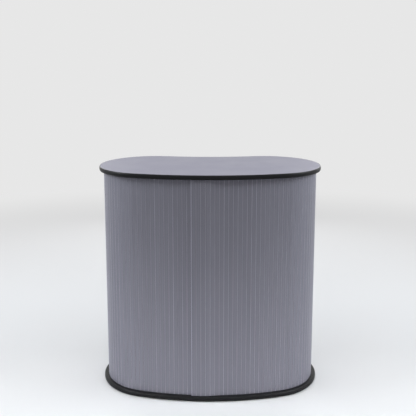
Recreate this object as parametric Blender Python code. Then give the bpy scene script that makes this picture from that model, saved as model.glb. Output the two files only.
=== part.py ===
# Knock-down exhibition counter: a bean-shaped top and base, a slatted tambour wall round the
# front and the sides, and an open back with one shelf on four screwed posts.
# Metres, +Z up, visitors at -Y, staff at +Y. The origin is on the floor under the top's middle.

import math

import bmesh
import bpy
from mathutils import Vector

# Whole counter
WIDTH = 0.990
DEPTH = 0.515
HEIGHT = 1.005
FRONT_BULGE = 0.0375
WAIST_DIP = 0.026
REAR_OPENING = 0.500
GAP = 0.0003
OVERRUN = 0.001
WELD = 0.00001

# Top and base boards, with a black T-shaped trim pressed into a groove round each edge
BOARD_THICKNESS = 0.020
TRIM_NOSE = 0.004
TONGUE_DEPTH = 0.009
TONGUE_THICKNESS = 0.0024
NOSE_STEPS = 4

# Rims glued to the boards, which the wall wraps round
RIM_THICKNESS = 0.018
TAPE_THICKNESS = 0.0015
TAPE_MARGIN = 0.001
TAPE_PITCHES = 2

# Tambour wall: fluted slats on soft hinges, in two rolls that lap at the front
WALL_INSET = 0.0195
SLAT_THICKNESS = 0.006
SLAT_PITCH = 0.0194
SLAT_OUTLINE_SHARES = ((0.0, 0.78), (0.07, 0.92), (0.27, 1.0), (0.5, 0.9), (0.73, 1.0), (0.93, 0.92))
SEAM_SHIFT = 0.079
LAP_SLATS = 3
EASE_SLATS = 4

# Channel that closes each roll at the open back
CHANNEL_DEPTH = 0.012
CHANNEL_WALL = 0.0015
CHANNEL_SLIP = 0.0005

# Shelf
SHELF_HEIGHT = 0.520
SHELF_THICKNESS = 0.018
SHELF_CLEARANCE = 0.003
BAND_THICKNESS = 0.001

# Posts, in two lengths that screw together through the shelf
POST_RADIUS = 0.014
POST_WALL = 0.0015
POST_SLIP = 0.0004
POST_MARGIN = 0.035
POST_ANGLE = math.radians(42)
PLUG_LENGTH = 0.030
STUD_RADIUS = 0.005
STUD_REACH = 0.020
CHAMFER = 0.001

# Flanged feet on the base rim and flanged cups under the top rim
FLANGE_RADIUS = 0.030
FLANGE_THICKNESS = 0.004
SPIGOT_LENGTH = 0.030
CUP_WALL = 0.0025
CUP_DEPTH = 0.022

# Floor pads
PAD_RADIUS = 0.0125
PAD_THICKNESS = 0.003
PAD_INSET = 0.050

# Steps of the round stretches
FRONT_STEPS = 16
SIDE_STEPS = 8
BACK_STEPS = 10
REAR_STEPS = 8
POST_STEPS = 16
PLUG_STEPS = 12

# Plan of the top: two lobes, a bowed front and a hollow waist that touch them
LOBE_RADIUS = (DEPTH - FRONT_BULGE) / 2
LOBE_X = WIDTH / 2 - LOBE_RADIUS
LOBE_Y = FRONT_BULGE / 2
FRONT_RADIUS = LOBE_RADIUS + FRONT_BULGE / 2 + LOBE_X ** 2 / (2 * FRONT_BULGE)
FRONT_CENTRE = FRONT_RADIUS - LOBE_RADIUS - FRONT_BULGE
FRONT_ANGLE = math.asin(LOBE_X / (FRONT_RADIUS - LOBE_RADIUS))
REAR_RADIUS = (LOBE_X ** 2 + WAIST_DIP ** 2) / (2 * WAIST_DIP) - LOBE_RADIUS
REAR_CENTRE = REAR_RADIUS + LOBE_RADIUS - WAIST_DIP
REAR_ANGLE = math.asin(LOBE_X / (REAR_RADIUS + LOBE_RADIUS))

# Heights
BASE_BOTTOM = PAD_THICKNESS + GAP
BASE_TOP = BASE_BOTTOM + BOARD_THICKNESS
BASE_RIM_TOP = BASE_TOP + GAP + RIM_THICKNESS
TOP_BOTTOM = HEIGHT - BOARD_THICKNESS
TOP_RIM_BOTTOM = TOP_BOTTOM - GAP - RIM_THICKNESS
SHELF_BOTTOM = SHELF_HEIGHT - SHELF_THICKNESS
WALL_BOTTOM = BASE_TOP + GAP
WALL_HEIGHT = TOP_BOTTOM - GAP - WALL_BOTTOM

# Line of the wall's inner face, measured from the middle of the front
WALL_LINE = WALL_INSET + SLAT_THICKNESS
FRONT_LINE_RADIUS = FRONT_RADIUS - WALL_LINE
LOBE_LINE_RADIUS = LOBE_RADIUS - WALL_LINE
FRONT_HALF = FRONT_ANGLE * FRONT_LINE_RADIUS
REAR_LINE_RADIUS = REAR_RADIUS + WALL_LINE
LOBE_END = FRONT_HALF + (math.pi + REAR_ANGLE - FRONT_ANGLE) * LOBE_LINE_RADIUS
if REAR_OPENING / 2 > REAR_LINE_RADIUS * math.sin(REAR_ANGLE):
    END_ANGLE = math.pi - math.asin((REAR_OPENING / 2 - LOBE_X) / LOBE_LINE_RADIUS)
    WALL_END = FRONT_HALF + (END_ANGLE - FRONT_ANGLE) * LOBE_LINE_RADIUS
else:
    END_ANGLE = math.asin(REAR_OPENING / 2 / REAR_LINE_RADIUS)
    WALL_END = LOBE_END + (REAR_ANGLE - END_ANGLE) * REAR_LINE_RADIUS
SEAM_START = -SEAM_SHIFT
SEAM_END = SEAM_START + LAP_SLATS * SLAT_PITCH
EASE_END = SEAM_END + EASE_SLATS * SLAT_PITCH
LAP_LIFT = SLAT_THICKNESS + 2 * GAP + TAPE_THICKNESS

# Tapes lie between the wall's flat slat backs and the rim
SLAT_SAG = LOBE_LINE_RADIUS * (1 - math.cos(SLAT_PITCH / (2 * LOBE_LINE_RADIUS)))
TAPE_STEP = TAPE_PITCHES * SLAT_PITCH
TAPE_SAG = LOBE_LINE_RADIUS * (1 - math.cos(TAPE_STEP / (2 * LOBE_LINE_RADIUS)))
TAPE_FACE = SLAT_SAG + GAP
RIM_INSET = WALL_LINE + TAPE_FACE + TAPE_THICKNESS + TAPE_SAG + GAP
TAPE_END = WALL_END - CHANNEL_DEPTH - GAP

# Posts, feet and cups
POST_REACH = LOBE_LINE_RADIUS - FLANGE_RADIUS - POST_MARGIN
POST_BORE = POST_RADIUS - POST_WALL
PLUG_RADIUS = POST_BORE - GAP
CUP_BORE = POST_RADIUS + POST_SLIP
CUP_RADIUS = CUP_BORE + CUP_WALL
FOOT_TOP = BASE_RIM_TOP + GAP + FLANGE_THICKNESS
CUP_FLOOR = TOP_RIM_BOTTOM - GAP - FLANGE_THICKNESS
STUD_HOLE = STUD_RADIUS + GAP


def finish(name, colour, roughness, metallic=0.0):
    """Return a plain finish."""
    material = bpy.data.materials.new(name)
    material.use_nodes = True
    shader = material.node_tree.nodes["Principled BSDF"]
    shader.inputs["Base Color"].default_value = (*colour, 1.0)
    shader.inputs["Roughness"].default_value = roughness
    shader.inputs["Metallic"].default_value = metallic
    return material


def add_object(name, shape, material, place, parent=None, sharp_angle=math.radians(35)):
    """Turn a bmesh into a named object, with its faces pointing out."""
    bmesh.ops.recalc_face_normals(shape, faces=shape.faces)
    mesh = bpy.data.meshes.new(name)
    shape.to_mesh(mesh)
    shape.free()
    mesh.shade_smooth()
    mesh.set_sharp_from_angle(angle=sharp_angle)
    mesh.materials.append(material)
    return add_copy(name, mesh, place, parent)


def add_copy(name, mesh, place, parent=None):
    """Place a mesh as an object of its own, on its parent if it has one."""
    item = bpy.data.objects.new(name, mesh)
    bpy.context.scene.collection.objects.link(item)
    item.location = Vector(place)
    if parent:
        item.parent = parent
        item.location -= parent.location
    return item


def add_set(name, shape, material, places, parent=None):
    """Place numbered copies of a shape, each an object of its own on the same mesh."""
    first = add_object(f"{name}_1", shape, material, places[0], parent)
    for number, place in enumerate(places[1:], start=2):
        add_copy(f"{name}_{number}", first.data, place, parent)


def cut(target, cutter):
    """Take a cutter's volume out of an object."""
    modifier = target.modifiers.new("cut", "BOOLEAN")
    modifier.operation = "DIFFERENCE"
    modifier.object = cutter
    cutter.hide_render = True
    cutter.display_type = "WIRE"


def arc(centre, radius, start, end, steps):
    """Points of an arc without its last one. Angles turn from -Y towards +X."""
    points = []
    for step in range(steps):
        angle = start + (end - start) * step / steps
        points.append((centre[0] + radius * math.sin(angle), centre[1] - radius * math.cos(angle)))
    return points


def bean_outline(inset):
    """Outline of the top, drawn a given distance inside its edge, about the lobes' line."""
    radius = LOBE_RADIUS - inset
    right = arc((LOBE_X, 0), radius, FRONT_ANGLE, math.pi / 2, SIDE_STEPS)
    right += arc((LOBE_X, 0), radius, math.pi / 2, math.pi, BACK_STEPS)
    right += arc((LOBE_X, 0), radius, math.pi, math.pi + REAR_ANGLE, 1)
    points = arc((0, FRONT_CENTRE), FRONT_RADIUS - inset, -FRONT_ANGLE, FRONT_ANGLE, FRONT_STEPS)
    points += right
    points += arc((0, REAR_CENTRE), REAR_RADIUS + inset, REAR_ANGLE, -REAR_ANGLE, REAR_STEPS)
    left = arc((-LOBE_X, 0), radius, math.pi - REAR_ANGLE, math.pi, 1)
    left += arc((-LOBE_X, 0), radius, math.pi, math.pi * 3 / 2, BACK_STEPS)
    left += arc((-LOBE_X, 0), radius, math.pi * 3 / 2, math.pi * 2 - FRONT_ANGLE, SIDE_STEPS)
    return points + left


def bean_loops(shape, profile):
    """Draw one bean loop of vertices for each (inset, height) of a profile."""
    loops = []
    for inset, height in profile:
        loops.append([shape.verts.new((x, y, height)) for x, y in bean_outline(inset)])
    return loops


def join_loops(shape, lower, upper):
    """Wall in the band between two loops that have as many vertices."""
    count = len(lower)
    for index in range(count):
        after = (index + 1) % count
        shape.faces.new((lower[index], lower[after], upper[after], upper[index]))


def bean_slab(profile):
    """Solid board whose edge follows a profile from its lower face to its upper face."""
    shape = bmesh.new()
    loops = bean_loops(shape, profile)
    for lower, upper in zip(loops, loops[1:]):
        join_loops(shape, lower, upper)
    shape.faces.new(loops[0])
    shape.faces.new(loops[-1])
    return shape


def bean_ring(profile):
    """Ring whose closed section is a profile of (inset, height)."""
    shape = bmesh.new()
    loops = bean_loops(shape, profile)
    for lower, upper in zip(loops, loops[1:] + loops[:1]):
        join_loops(shape, lower, upper)
    return shape


def turned(profile, steps, hollow=False):
    """Turn a profile of (radius, height) about Z. A hollow one is a closed section."""
    shape = bmesh.new()
    verts = [shape.verts.new((radius, 0, height)) for radius, height in profile]
    edges = [shape.edges.new(pair) for pair in zip(verts, verts[1:])]
    if hollow:
        edges.append(shape.edges.new((verts[-1], verts[0])))
    bmesh.ops.spin(
        shape, geom=verts + edges, cent=(0, 0, 0), axis=(0, 0, 1),
        angle=2 * math.pi, steps=steps, use_merge=True,
    )
    bmesh.ops.remove_doubles(shape, verts=shape.verts, dist=WELD)
    return shape


def wall_point(distance, outward):
    """Point at a distance along the wall's line and so far out from it."""
    run = abs(distance)
    if run <= FRONT_HALF:
        angle = run / FRONT_LINE_RADIUS
        centre = (0, FRONT_CENTRE)
        radius = FRONT_LINE_RADIUS + outward
    elif run <= LOBE_END:
        angle = FRONT_ANGLE + (run - FRONT_HALF) / LOBE_LINE_RADIUS
        centre = (LOBE_X, 0)
        radius = LOBE_LINE_RADIUS + outward
    else:
        angle = REAR_ANGLE - (run - LOBE_END) / REAR_LINE_RADIUS
        centre = (0, REAR_CENTRE)
        radius = REAR_LINE_RADIUS - outward
    x = centre[0] + radius * math.sin(angle)
    return (math.copysign(x, distance), centre[1] - radius * math.cos(angle))


def lap_lift(distance):
    """How far the right-hand roll stands out, where it lies over the other and eases back."""
    share = (distance - SEAM_END) / (EASE_END - SEAM_END)
    share = min(max(share, 0.0), 1.0)
    return LAP_LIFT * (1 - share * share * (3 - 2 * share))


def no_lift(distance):
    """A roll that keeps to the wall's line."""
    return 0.0


def slatted_roll(start, end, lift):
    """Roll of fluted slats between two distances along the wall."""
    count = round((end - start) / SLAT_PITCH)
    pitch = (end - start) / count
    shape = bmesh.new()

    def vertex(distance, height):
        return shape.verts.new((*wall_point(distance, height + lift(distance)), 0))

    backs = [vertex(start + index * pitch, 0) for index in range(count + 1)]
    faces = []
    for index in range(count):
        outline = []
        for along, height in SLAT_OUTLINE_SHARES:
            outline.append(vertex(start + (index + along) * pitch, height * SLAT_THICKNESS))
        faces.append(outline)
    faces.append([vertex(end, SLAT_OUTLINE_SHARES[0][1] * SLAT_THICKNESS)])
    cells = []
    for index in range(count):
        edge = faces[index] + [faces[index + 1][0]]
        cells.append(shape.faces.new([backs[index]] + edge + [backs[index + 1]]))
    raised = bmesh.ops.extrude_face_region(shape, geom=cells)
    tips = [item for item in raised["geom"] if isinstance(item, bmesh.types.BMVert)]
    bmesh.ops.translate(shape, verts=tips, vec=(0, 0, WALL_HEIGHT))
    return shape


def wall_strip(start, end, inner, outer, height, step):
    """Strip that follows the wall between two distances, from inner to outer of its line."""
    count = max(1, round((end - start) / step))
    shape = bmesh.new()
    rows = []
    for index in range(count + 1):
        distance = start + (end - start) * index / count
        rows.append([shape.verts.new((*wall_point(distance, side), 0)) for side in (inner, outer)])
    cells = [shape.faces.new((a[0], b[0], b[1], a[1])) for a, b in zip(rows, rows[1:])]
    raised = bmesh.ops.extrude_face_region(shape, geom=cells)
    tips = [item for item in raised["geom"] if isinstance(item, bmesh.types.BMVert)]
    bmesh.ops.translate(shape, verts=tips, vec=(0, 0, height))
    return shape


def channel(side):
    """U-shaped channel over the end of the roll on one side of the counter."""
    mouth = WALL_END - CHANNEL_DEPTH
    floor = WALL_END + CHANNEL_SLIP
    back = floor + CHANNEL_WALL
    inside = -CHANNEL_SLIP
    outside = SLAT_THICKNESS + CHANNEL_SLIP
    section = (
        (mouth, inside), (mouth, inside - CHANNEL_WALL), (back, inside - CHANNEL_WALL),
        (back, outside + CHANNEL_WALL), (mouth, outside + CHANNEL_WALL), (mouth, outside),
        (floor, outside), (floor, inside),
    )
    shape = bmesh.new()
    verts = [shape.verts.new((*wall_point(side * along, out), 0)) for along, out in section]
    base = shape.faces.new(verts)
    raised = bmesh.ops.extrude_face_region(shape, geom=[base])
    tips = [item for item in raised["geom"] if isinstance(item, bmesh.types.BMVert)]
    bmesh.ops.translate(shape, verts=tips, vec=(0, 0, WALL_HEIGHT))
    return shape


def grooved_board():
    """Board with a groove round its edge for the trim's tongue."""
    edge = TRIM_NOSE + GAP
    floor = TRIM_NOSE + TONGUE_DEPTH + GAP
    low = BOARD_THICKNESS / 2 - TONGUE_THICKNESS / 2 - GAP
    high = BOARD_THICKNESS / 2 + TONGUE_THICKNESS / 2 + GAP
    return bean_slab(
        ((edge, 0), (edge, low), (floor, low), (floor, high), (edge, high), (edge, BOARD_THICKNESS))
    )


def edge_trim():
    """Trim with a rounded nose and a tongue, in one ring."""
    half = BOARD_THICKNESS / 2
    section = []
    for step in range(NOSE_STEPS + 1):
        angle = math.pi * step / NOSE_STEPS
        section.append((TRIM_NOSE * (1 - math.sin(angle)), half - half * math.cos(angle)))
    tip = TRIM_NOSE + TONGUE_DEPTH
    low = half - TONGUE_THICKNESS / 2
    high = half + TONGUE_THICKNESS / 2
    section += [(TRIM_NOSE, high), (tip, high), (tip, low), (TRIM_NOSE, low)]
    return bean_ring(section)


def rim_tape():
    """Hook-and-loop tape round a rim, from one end channel to the other."""
    height = RIM_THICKNESS - 2 * TAPE_MARGIN
    return wall_strip(-TAPE_END, TAPE_END, -TAPE_FACE - TAPE_THICKNESS, -TAPE_FACE, height, TAPE_STEP)


def post_places(height):
    """Places of the four posts at a height, within reach of the wall round each lobe."""
    x = LOBE_X + POST_REACH * math.sin(POST_ANGLE)
    y = POST_REACH * math.cos(POST_ANGLE)
    corners = ((-x, -y), (x, -y), (x, y), (-x, y))
    return [(across, LOBE_Y + along, height) for across, along in corners]


def pad_places():
    """Places of the floor pads: four under the lobes, one at the front and one at the waist."""
    reach = LOBE_RADIUS - PAD_INSET
    diagonal = reach * math.sqrt(0.5)
    x = LOBE_X + diagonal
    lobes = [(-x, -diagonal), (x, -diagonal), (x, diagonal), (-x, diagonal)]
    front = (0, -LOBE_RADIUS - FRONT_BULGE + PAD_INSET)
    waist = (0, LOBE_RADIUS - WAIST_DIP - PAD_INSET)
    return lobes + [front, waist]


def build_base(dark, black, plastic, cloth):
    """Base board, its trim, its rim with the tape round it, and the floor pads."""
    add_object("base_board", grooved_board(), dark, (0, LOBE_Y, BASE_BOTTOM))
    add_object("base_edge_trim", edge_trim(), black, (0, LOBE_Y, BASE_BOTTOM))
    rim = bean_slab(((RIM_INSET, 0), (RIM_INSET, RIM_THICKNESS)))
    add_object("base_rim", rim, dark, (0, LOBE_Y, BASE_TOP + GAP))
    add_object("base_rim_tape", rim_tape(), cloth, (0, LOBE_Y, BASE_TOP + GAP + TAPE_MARGIN))
    profile = (
        (0, 0), (PAD_RADIUS - CHAMFER, 0), (PAD_RADIUS, CHAMFER),
        (PAD_RADIUS, PAD_THICKNESS), (0, PAD_THICKNESS),
    )
    places = [(x, y + LOBE_Y, 0) for x, y in pad_places()]
    add_set("floor_pad", turned(profile, PLUG_STEPS), plastic, places)


def build_feet(zinc):
    """Flanged feet screwed to the base rim, with a spigot each for a lower post."""
    spigot = FLANGE_THICKNESS + SPIGOT_LENGTH
    profile = (
        (0, 0), (FLANGE_RADIUS, 0), (FLANGE_RADIUS, FLANGE_THICKNESS), (PLUG_RADIUS, FLANGE_THICKNESS),
        (PLUG_RADIUS, spigot - CHAMFER), (PLUG_RADIUS - CHAMFER, spigot), (0, spigot),
    )
    add_set("post_foot", turned(profile, POST_STEPS), zinc, post_places(BASE_RIM_TOP + GAP))


def build_posts(aluminium, zinc):
    """Lower and upper post tubes, and the threaded plugs that join them through the shelf."""
    lower_bottom = FOOT_TOP + GAP
    lower_top = SHELF_BOTTOM - GAP
    upper_bottom = SHELF_HEIGHT + GAP
    upper_top = CUP_FLOOR - GAP
    socket = STUD_REACH + GAP
    plug = (
        (0, -PLUG_LENGTH), (PLUG_RADIUS, -PLUG_LENGTH), (PLUG_RADIUS, 0),
        (STUD_HOLE, 0), (STUD_HOLE, -socket), (0, -socket),
    )
    stud_tip = SHELF_THICKNESS + 2 * GAP + STUD_REACH
    stud = (
        (0, -stud_tip), (STUD_RADIUS - CHAMFER, -stud_tip), (STUD_RADIUS, CHAMFER - stud_tip),
        (STUD_RADIUS, 0), (PLUG_RADIUS, 0), (PLUG_RADIUS, PLUG_LENGTH), (0, PLUG_LENGTH),
    )
    add_set("lower_post", tube(lower_top - lower_bottom), aluminium, post_places(lower_bottom))
    add_set("upper_post", tube(upper_top - upper_bottom), aluminium, post_places(upper_bottom))
    add_set("threaded_plug", turned(plug, PLUG_STEPS), zinc, post_places(lower_top))
    add_set("stud_plug", turned(stud, PLUG_STEPS), zinc, post_places(upper_bottom))


def tube(length):
    """Post tube of a length, from its foot upwards."""
    section = ((POST_BORE, 0), (POST_RADIUS, 0), (POST_RADIUS, length), (POST_BORE, length))
    return turned(section, POST_STEPS, hollow=True)


def build_shelf(laminate, black):
    """Shelf board with a hole for each post's stud, and its edge band."""
    band = WALL_LINE + SHELF_CLEARANCE
    board = band + BAND_THICKNESS + GAP
    shelf = bean_slab(((board, 0), (board, SHELF_THICKNESS)))
    # The stretch in line with the rear opening, clear of the posts, is a face of its own
    for side in (-1, 1):
        everything = shelf.verts[:] + shelf.edges[:] + shelf.faces[:]
        middle = (side * REAR_OPENING / 2, 0, 0)
        bmesh.ops.bisect_plane(shelf, geom=everything, plane_co=middle, plane_no=(1, 0, 0))
    shelf = add_object("shelf_board", shelf, laminate, (0, LOBE_Y, SHELF_BOTTOM))
    hole = (
        (0, -OVERRUN), (STUD_HOLE, -OVERRUN), (STUD_HOLE, SHELF_THICKNESS + OVERRUN),
        (0, SHELF_THICKNESS + OVERRUN),
    )
    for place in post_places(SHELF_BOTTOM):
        cut(shelf, add_object("stud_hole_cutter", turned(hole, PLUG_STEPS), black, place))
    inner = band + BAND_THICKNESS
    ring = bean_ring(((band, 0), (band, SHELF_THICKNESS), (inner, SHELF_THICKNESS), (inner, 0)))
    add_object("shelf_edge_band", ring, black, (0, LOBE_Y, SHELF_BOTTOM))


def build_wall(silver, aluminium, cloth):
    """Two slatted rolls lapped at the front, the tape between them and their end channels."""
    left = slatted_roll(-WALL_END, SEAM_END, no_lift)
    right = slatted_roll(SEAM_START, WALL_END, lap_lift)
    place = (0, LOBE_Y, WALL_BOTTOM)
    add_object("wall_roll_left", left, silver, place)
    add_object("wall_roll_right", right, silver, place)
    inner = SLAT_THICKNESS + GAP
    start = SEAM_START + TAPE_MARGIN
    end = SEAM_END - TAPE_MARGIN
    lap = wall_strip(start, end, inner, inner + TAPE_THICKNESS, WALL_HEIGHT, SLAT_PITCH)
    add_object("lap_tape", lap, cloth, place)
    add_object("wall_channel_left", channel(-1), aluminium, place)
    add_object("wall_channel_right", channel(1), aluminium, place)


def build_top(laminate, dark, black, cloth, zinc):
    """Top that lifts off the posts: board, trim, rim, tape and the cups over the post ends."""
    lift = bpy.data.objects.new("top_lift", None)
    bpy.context.scene.collection.objects.link(lift)
    lift.location = (0, 0, TOP_BOTTOM)
    add_object("top_board", grooved_board(), laminate, (0, LOBE_Y, TOP_BOTTOM), lift)
    add_object("top_edge_trim", edge_trim(), black, (0, LOBE_Y, TOP_BOTTOM), lift)
    rim = bean_slab(((RIM_INSET, 0), (RIM_INSET, RIM_THICKNESS)))
    add_object("top_rim", rim, dark, (0, LOBE_Y, TOP_RIM_BOTTOM), lift)
    add_object("top_rim_tape", rim_tape(), cloth, (0, LOBE_Y, TOP_RIM_BOTTOM + TAPE_MARGIN), lift)
    mouth = -FLANGE_THICKNESS - CUP_DEPTH
    profile = (
        (0, 0), (FLANGE_RADIUS, 0), (FLANGE_RADIUS, -FLANGE_THICKNESS), (CUP_RADIUS, -FLANGE_THICKNESS),
        (CUP_RADIUS, mouth), (CUP_BORE, mouth), (CUP_BORE, -FLANGE_THICKNESS), (0, -FLANGE_THICKNESS),
    )
    add_set("post_cup", turned(profile, POST_STEPS), zinc, post_places(TOP_RIM_BOTTOM - GAP), lift)


def build_counter():
    """Build the whole counter."""
    for item in list(bpy.data.objects):
        bpy.data.objects.remove(item, do_unlink=True)
    laminate = finish("silver_laminate", (0.37, 0.36, 0.43), 0.35)
    dark = finish("black_laminate", (0.015, 0.015, 0.017), 0.35)
    black = finish("black_trim", (0.012, 0.012, 0.013), 0.35)
    silver = finish("silver_tambour", (0.42, 0.42, 0.47), 0.38, 0.6)
    aluminium = finish("satin_aluminium", (0.60, 0.61, 0.63), 0.30, 1.0)
    zinc = finish("zinc_casting", (0.45, 0.46, 0.47), 0.45, 1.0)
    cloth = finish("black_hook_tape", (0.02, 0.02, 0.02), 0.95)
    plastic = finish("grey_pad", (0.10, 0.10, 0.11), 0.60)
    build_base(dark, black, plastic, cloth)
    build_feet(zinc)
    build_posts(aluminium, zinc)
    build_shelf(laminate, black)
    build_wall(silver, aluminium, cloth)
    build_top(laminate, dark, black, cloth, zinc)


build_counter()
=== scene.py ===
"""Looks of a knock-down exhibition counter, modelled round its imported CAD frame.

Metres, +Z up. Visitors stand at -Y and see the bowed front, staff at +Y and see the open back.
"""

import logging
import math
import random
from dataclasses import dataclass, field, replace
from enum import Enum
from itertools import chain, repeat
from typing import Callable, Iterable, Sequence

import bmesh
import bpy
from mathutils import Matrix, Vector


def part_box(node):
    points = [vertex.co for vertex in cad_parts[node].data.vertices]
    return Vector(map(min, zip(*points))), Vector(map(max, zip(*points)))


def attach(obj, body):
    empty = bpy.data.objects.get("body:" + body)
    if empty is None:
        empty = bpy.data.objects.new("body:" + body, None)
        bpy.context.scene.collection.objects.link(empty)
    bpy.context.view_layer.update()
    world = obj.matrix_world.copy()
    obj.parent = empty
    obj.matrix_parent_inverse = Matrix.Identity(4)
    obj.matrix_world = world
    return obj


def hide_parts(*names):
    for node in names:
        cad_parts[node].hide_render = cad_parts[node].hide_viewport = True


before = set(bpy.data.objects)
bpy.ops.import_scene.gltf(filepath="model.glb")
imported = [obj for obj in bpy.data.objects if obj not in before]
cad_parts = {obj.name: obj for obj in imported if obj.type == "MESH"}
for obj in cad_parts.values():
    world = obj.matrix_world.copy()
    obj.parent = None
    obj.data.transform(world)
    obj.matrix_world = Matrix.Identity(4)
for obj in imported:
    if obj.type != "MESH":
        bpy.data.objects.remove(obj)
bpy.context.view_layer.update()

log = logging.getLogger("counter")

IMAGE_SIZE = 416
POST_COUNT = 4
SMOOTH_ANGLE = math.radians(32)

# Points nearer than this are one point. Every test on places has this slack.
WELD = 0.00002

# A face looks up if its normal rises more than this.
LEVEL = 0.5

# Mesh attribute with each slat's random shade, and the lighter shade and painted highlight on each hinge
# bead's crown.
TONE_AND_HIGHLIGHT_ATTRIBUTE = "tone"

Point = tuple[float, float]
Triple = tuple[float, float, float]
Test = Callable[[Vector, Vector], bool]
Inputs = dict[str | int, object]


class Body(Enum):
    """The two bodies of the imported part."""

    STAND = "stand"
    TOP = "top"


class Grain(Enum):
    """How a finish varies over its surface, as the noise's cells per metre along X, Y and Z."""

    PEARL = (900, 900, 900)
    MOULDED = (1400, 1400, 1400)
    UPRIGHT = (700, 700, 2.5)
    DRAWN = (1800, 1800, 9)
    CAST = (650, 650, 650)
    PILE = (1500, 1500, 1500)


class Wiring:
    """The nodes of a material or of the world."""

    def __init__(self, owner: bpy.types.Material | bpy.types.World) -> None:
        """Switch the owner's nodes on."""
        owner.use_nodes = True
        self.tree = owner.node_tree

    def fill(self, node: bpy.types.Node, inputs: Inputs) -> None:
        """Fill a node's inputs.

        Args:
            node: The node.
            inputs: For each input's name or number, a plain value or another node's output.
        """
        for name, value in inputs.items():
            if isinstance(value, bpy.types.NodeSocket):
                self.tree.links.new(value, node.inputs[name])
            else:
                node.inputs[name].default_value = value

    def add(self, kind: str, inputs: Inputs | None = None) -> bpy.types.Node:
        """Add a node.

        Args:
            kind: Its type.
            inputs: What fills its inputs, if anything does.

        Returns:
            The node.
        """
        node = self.tree.nodes.new(kind)
        self.fill(node, inputs or {})
        return node

    def mix(self, inputs: Inputs, blend: str = "MIX") -> bpy.types.NodeSocket:
        """Add a mix of two colours.

        Args:
            inputs: The colours A and B, and the Factor between them.
            blend: How they mix.

        Returns:
            The mixed colour's output.
        """
        node = self.add("ShaderNodeMix")
        node.data_type = "RGBA"
        node.blend_type = blend
        self.fill(node, inputs)
        return node.outputs["Result"]

    def maths(self, operation: str, inputs: Inputs) -> bpy.types.NodeSocket:
        """Add a calculation with two numbers.

        Args:
            operation: What it does with them.
            inputs: The numbers, as inputs 0 and 1.

        Returns:
            The result's output.
        """
        node = self.add("ShaderNodeMath", inputs)
        node.operation = operation
        return node.outputs["Value"]

    def noise(self, place: bpy.types.NodeSocket, scale: float, detail: float) -> bpy.types.NodeSocket:
        """Add a noise with so many cells per unit of a place, and so many finer layers on it."""
        inputs = {"Vector": place, "Scale": scale, "Detail": detail}
        return self.add("ShaderNodeTexNoise", inputs).outputs["Fac"]

    def seen(self) -> bpy.types.NodeSocket:
        """Tell what the camera and gloss see from what lights the object.

        Returns:
            An output that is 1 for what they see, and 0 for the light itself.
        """
        paths = self.add("ShaderNodeLightPath").outputs
        return self.maths("MAXIMUM", {0: paths["Is Camera Ray"], 1: paths["Is Glossy Ray"]})


@dataclass(frozen=True)
class Finish:
    """One finish: its plain values and how far its noise moves them."""

    slot: str
    colour: Triple
    roughness: float
    grain: Grain
    metallic: float = 0.0
    specular: float = 0.5
    sheen: float = 0.0
    colour_share: float = 0.05
    roughness_spread: float = 0.05
    relief: float = 0.00003
    relief_share: float = 0.4
    grain_detail: float = 3.0
    cloud_scale: float = 6.0
    cloud_detail: float = 2.0
    noise_low: float = 0.3
    noise_high: float = 0.7
    takes_tone_and_highlight: bool = False

    def make(self) -> bpy.types.Material:
        """Build the finish as a material, or find it if it is there already.

        Returns:
            The material, which reads Object coordinates.
        """
        name = self.slot + "_finish"
        found = bpy.data.materials.get(name)
        if found:
            return found
        material = bpy.data.materials.new(name)
        wiring = Wiring(material)
        place = wiring.add("ShaderNodeTexCoord").outputs["Object"]
        stretch = wiring.add("ShaderNodeMapping", {"Vector": place, "Scale": self.grain.value})
        grain = wiring.noise(stretch.outputs["Vector"], 1.0, self.grain_detail)
        clouds = wiring.noise(place, self.cloud_scale, self.cloud_detail)
        shade = self.spread(wiring, grain, 1.0, self.colour_share)
        colour = wiring.mix({"Factor": 1.0, "A": (*self.colour, 1.0), "B": shade}, "MULTIPLY")
        # The colour is multiplied by the mesh attribute: a random shade on slats, a painted highlight on the
        # hinges' beads.
        if self.takes_tone_and_highlight:
            tone = wiring.add("ShaderNodeAttribute")
            tone.attribute_name = TONE_AND_HIGHLIGHT_ATTRIBUTE
            colour = wiring.mix({"Factor": 1.0, "A": colour, "B": tone.outputs["Fac"]}, "MULTIPLY")
        relief = {"Strength": self.relief_share, "Distance": self.relief, "Height": grain}
        bump = wiring.add("ShaderNodeBump", relief)
        inputs = {
            "Base Color": colour,
            "Metallic": self.metallic,
            "Roughness": self.spread(wiring, clouds, self.roughness, self.roughness_spread),
            "Specular IOR Level": self.specular,
            "Sheen Weight": self.sheen,
            "Normal": bump.outputs["Normal"],
        }
        wiring.fill(wiring.tree.nodes["Principled BSDF"], inputs)
        return material

    def spread(
        self, wiring: Wiring, noise: bpy.types.NodeSocket, centre: float, reach: float
    ) -> bpy.types.NodeSocket:
        """Map a noise, which keeps near its middle, onto a range.

        Args:
            wiring: The material's nodes.
            noise: The noise's output.
            centre: Middle of the range.
            reach: How far it goes to either side.

        Returns:
            The output of the mapping.
        """
        inputs = {
            "Value": noise,
            "From Min": self.noise_low,
            "From Max": self.noise_high,
            "To Min": centre - reach,
            "To Max": centre + reach,
        }
        return wiring.add("ShaderNodeMapRange", inputs).outputs["Result"]


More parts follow.
